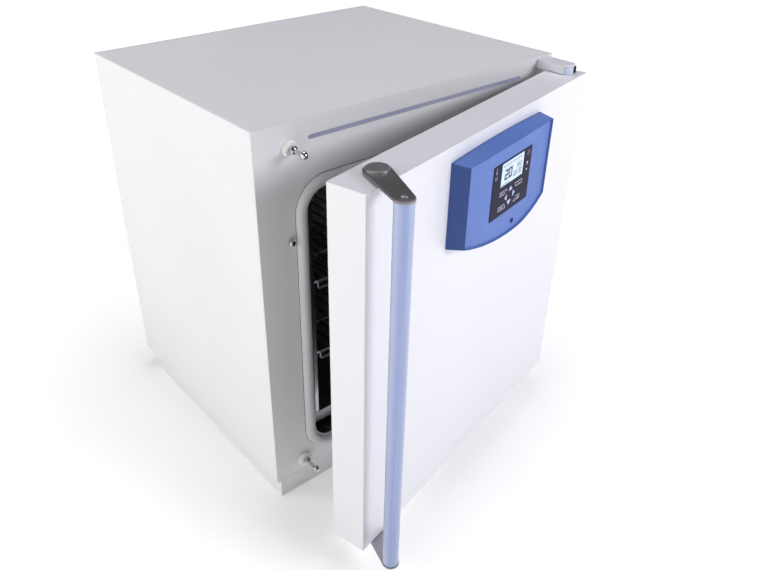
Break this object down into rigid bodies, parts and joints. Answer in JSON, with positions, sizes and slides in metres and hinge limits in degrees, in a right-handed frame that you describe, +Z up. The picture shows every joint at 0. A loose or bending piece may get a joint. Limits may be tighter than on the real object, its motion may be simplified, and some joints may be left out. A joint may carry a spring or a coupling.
{
  "type": "hot_air_sterilizer",
  "caption": "White bench-top hot air sterilizer with its door ajar, blue control panel with a small display, upright bar handle and a stainless chamber with wire shelves.",
  "frame": {"origin": "centre of the cabinet's footprint (door and handle left out) on the surface it stands on", "axes": "+X to the right seen from the front, +Y to the back, +Z up"},
  "size_m": [0.6241, 0.8082, 0.683],
  "materials": {
    "painted_white": "satin fine-texture powder coat",
    "stainless": "brushed stainless sheet",
    "anodised_blue": "satin anodised",
    "bracket_grey": "satin dark powder coat",
    "chrome": "polished",
    "bezel_blue": "fine-grained moulded",
    "overlay_black": "smooth printed film",
    "lcd": "backlit liquid crystal",
    "key_light": "smooth membrane",
    "silicone_grey": "smooth silicone",
    "bush_blue": "moulded acetal",
    "boss_white": "moulded",
    "insulation": "mineral wool board",
    "pcb_green": "solder resist",
    "black_plastic": "moulded",
    "zinc_steel": "zinc plated",
    "heater_steel": "heat tinted tube"
  },
  "bodies": {
    "cabinet": {"outer_casing": "painted_white", "front_panel": "painted_white", "back_panel": "painted_white", "back_screws": "zinc_steel", "base_plate": "zinc_steel", "plinth": "painted_white", "inner_chamber": "stainless", "chamber_seal": "silicone_grey", "insulation_top": "insulation", "insulation_bottom": "insulation", "insulation_sides": "insulation", "insulation_rear": "insulation", "floor_baffle": "stainless", "rear_baffle": "stainless", "rack_left": "stainless", "rack_right": "stainless", "fan_motor": "black_plastic", "motor_bracket": "zinc_steel", "heater_elements": "heater_steel", "temperature_probe": "stainless", "exhaust_tube": "stainless", "damper_motor": "black_plastic", "mains_inlet": "black_plastic", "power_board": "pcb_green", "stud_bosses": "boss_white", "latch_studs": "chrome", "door_buffer_screw": "chrome", "hinge_arm_top": "bracket_grey", "hinge_arm_bottom": "bracket_grey", "hinge_pins": "zinc_steel", "hinge_screws": "zinc_steel"},
    "fan": {"fan_shaft": "zinc_steel", "fan_impeller": "stainless"},
    "damper": {"exhaust_damper": "stainless"},
    "shelf_upper_body": {"shelf_upper": "stainless"},
    "shelf_lower_body": {"shelf_lower": "stainless"},
    "door": {"door_outer_shell": "painted_white", "door_inner_plate": "stainless", "door_insulation": "insulation", "shaft_bushes": "boss_white", "hinge_bushes": "bush_blue", "control_bezel": "bezel_blue", "display_overlay": "overlay_black", "lcd_panel": "lcd", "control_pcb": "pcb_green", "service_plug": "bezel_blue"},
    "handle": {"lever_shaft": "zinc_steel", "handle_lever_top": "bracket_grey", "handle_lever_bottom": "bracket_grey", "handle_tube": "anodised_blue", "handle_screws": "zinc_steel", "latch_hooks": "zinc_steel"},
    "key_left_top_body": {"key_left_top": "overlay_black"},
    "key_right_top_body": {"key_right_top": "overlay_black"},
    "key_up_body": {"key_up": "key_light"},
    "key_right_body": {"key_right": "key_light"},
    "key_left_body": {"key_left": "key_light"},
    "key_down_body": {"key_down": "key_light"},
    "key_left_bottom_body": {"key_left_bottom": "overlay_black"},
    "key_right_bottom_body": {"key_right_bottom": "overlay_black"}
  },
  "joints": [
    {"name": "door_hinge", "type": "hinge", "parent": "cabinet", "child": "door", "pos_m": [0.282, -0.314, 0.355], "axis": [0, 0, 1], "range_deg": [-13, 125]},
    {"name": "handle_pivot", "type": "hinge", "parent": "door", "child": "handle", "pos_m": [-0.2393, -0.43096, 0.355], "axis": [0, 0, 1], "range_deg": [-22, 8]},
    {"name": "fan_spin", "type": "hinge", "parent": "cabinet", "child": "fan", "pos_m": [0, 0.19, 0.34], "axis": [0, 1, 0], "continuous": true},
    {"name": "damper_turn", "type": "hinge", "parent": "cabinet", "child": "damper", "pos_m": [0.12, 0.226, 0.52], "axis": [0, 0, 1], "range_deg": [0, 90]},
    {"name": "shelf_upper_slide", "type": "slide", "parent": "cabinet", "child": "shelf_upper_body", "axis": [0, -1, 0], "range_m": [0, 0.035]},
    {"name": "shelf_lower_slide", "type": "slide", "parent": "cabinet", "child": "shelf_lower_body", "axis": [0, -1, 0], "range_m": [0, 0.035]},
    {"name": "key_left_top_press", "type": "slide", "parent": "door", "child": "key_left_top_body", "axis": [-0.225, 0.9744, 0], "range_m": [0, 0.0004], "stiffness_N_per_m": 600},
    {"name": "key_right_top_press", "type": "slide", "parent": "door", "child": "key_right_top_body", "axis": [-0.225, 0.9744, 0], "range_m": [0, 0.0004], "stiffness_N_per_m": 600},
    {"name": "key_up_press", "type": "slide", "parent": "door", "child": "key_up_body", "axis": [-0.225, 0.9744, 0], "range_m": [0, 0.0004], "stiffness_N_per_m": 600},
    {"name": "key_right_press", "type": "slide", "parent": "door", "child": "key_right_body", "axis": [-0.225, 0.9744, 0], "range_m": [0, 0.0004], "stiffness_N_per_m": 600},
    {"name": "key_left_press", "type": "slide", "parent": "door", "child": "key_left_body", "axis": [-0.225, 0.9744, 0], "range_m": [0, 0.0004], "stiffness_N_per_m": 600},
    {"name": "key_down_press", "type": "slide", "parent": "door", "child": "key_down_body", "axis": [-0.225, 0.9744, 0], "range_m": [0, 0.0004], "stiffness_N_per_m": 600},
    {"name": "key_left_bottom_press", "type": "slide", "parent": "door", "child": "key_left_bottom_body", "axis": [-0.225, 0.9744, 0], "range_m": [0, 0.0004], "stiffness_N_per_m": 600},
    {"name": "key_right_bottom_press", "type": "slide", "parent": "door", "child": "key_right_bottom_body", "axis": [-0.225, 0.9744, 0], "range_m": [0, 0.0004], "stiffness_N_per_m": 600}
  ]
}
